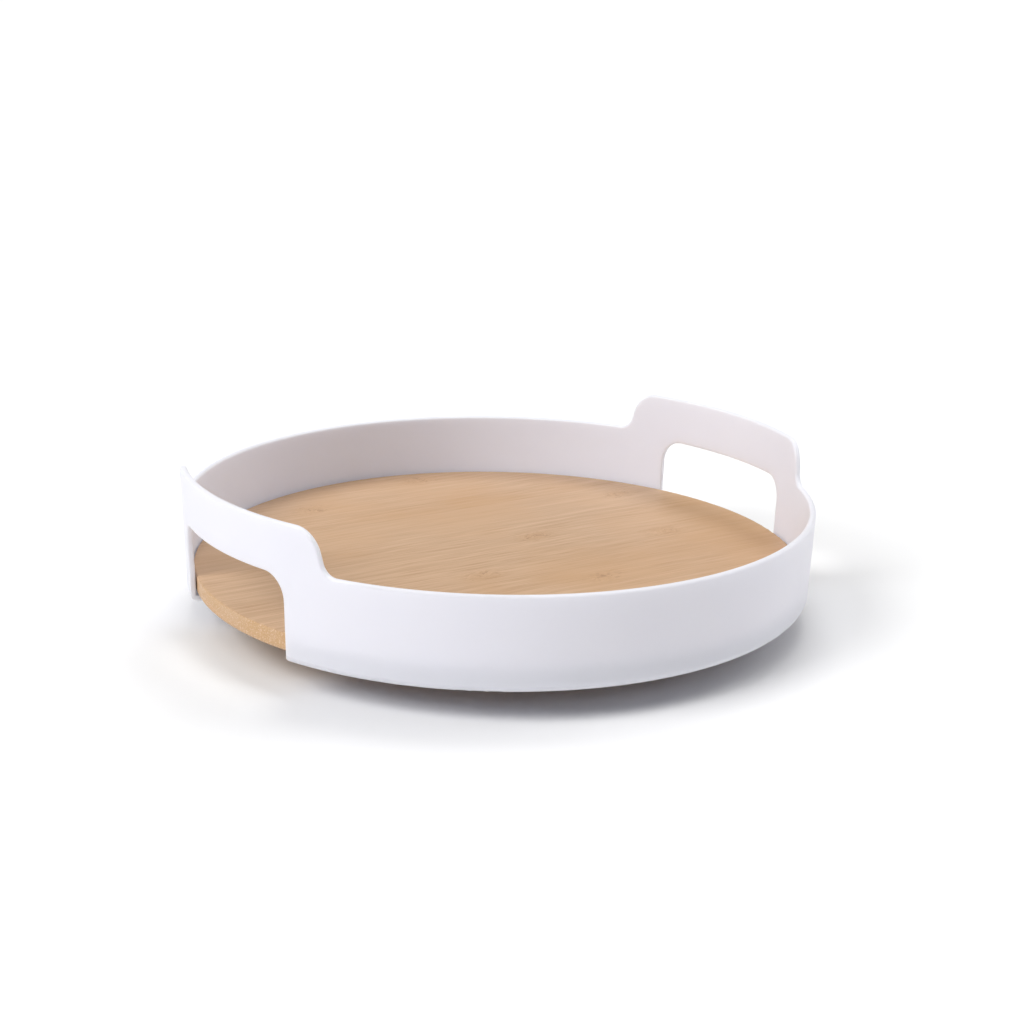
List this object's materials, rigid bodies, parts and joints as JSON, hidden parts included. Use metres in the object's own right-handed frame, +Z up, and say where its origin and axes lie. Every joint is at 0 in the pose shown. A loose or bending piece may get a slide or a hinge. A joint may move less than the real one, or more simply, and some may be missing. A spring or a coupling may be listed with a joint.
{
  "type": "lazy susan turntable",
  "caption": "Round bamboo serving tray in a raised white plastic rim with two carrying handles, turning freely on a ball bearing over a small base with rubber feet.",
  "frame": {"origin": "turning axis at the plane of the feet's undersides", "axes": "+Z up along the turning axis, +X towards one carrying handle, the other handle at -X"},
  "size_m": [0.3313, 0.33, 0.0842],
  "materials": {
    "rim_white": "satin",
    "bamboo": "satin",
    "plate_steel": "satin",
    "screw_steel": "satin",
    "ball_steel": "polished",
    "cage_plastic": "matte",
    "rubber": "matte"
  },
  "bodies": {
    "base": {"base_disc": "bamboo", "foot_1": "rubber", "foot_2": "rubber", "foot_3": "rubber", "foot_4": "rubber", "foot_5": "rubber", "foot_6": "rubber", "foot_screws": "screw_steel", "bearing_lower_plate": "plate_steel", "lower_plate_screws": "screw_steel"},
    "ball_ring": {"ball_cage": "cage_plastic", "ball_01": "ball_steel", "ball_02": "ball_steel", "ball_03": "ball_steel", "ball_04": "ball_steel", "ball_05": "ball_steel", "ball_06": "ball_steel", "ball_07": "ball_steel", "ball_08": "ball_steel", "ball_09": "ball_steel", "ball_10": "ball_steel", "ball_11": "ball_steel", "ball_12": "ball_steel", "ball_13": "ball_steel", "ball_14": "ball_steel", "ball_15": "ball_steel", "ball_16": "ball_steel", "ball_17": "ball_steel", "ball_18": "ball_steel"},
    "turntable": {"rim": "rim_white", "tray_disc": "bamboo", "rim_screws": "screw_steel", "bearing_upper_plate": "plate_steel", "upper_plate_screws": "screw_steel"}
  },
  "joints": [
    {"name": "turntable_spin", "type": "hinge", "parent": "base", "child": "turntable", "pos_m": [0, 0, 0.015], "axis": [0, 0, 1], "continuous": true},
    {"name": "cage_spin", "type": "hinge", "parent": "base", "child": "ball_ring", "pos_m": [0, 0, 0.015], "axis": [0, 0, 1], "continuous": true}
  ],
  "couplings": [
    {"joint": "cage_spin", "follows": "turntable_spin", "ratio": 0.5}
  ]
}
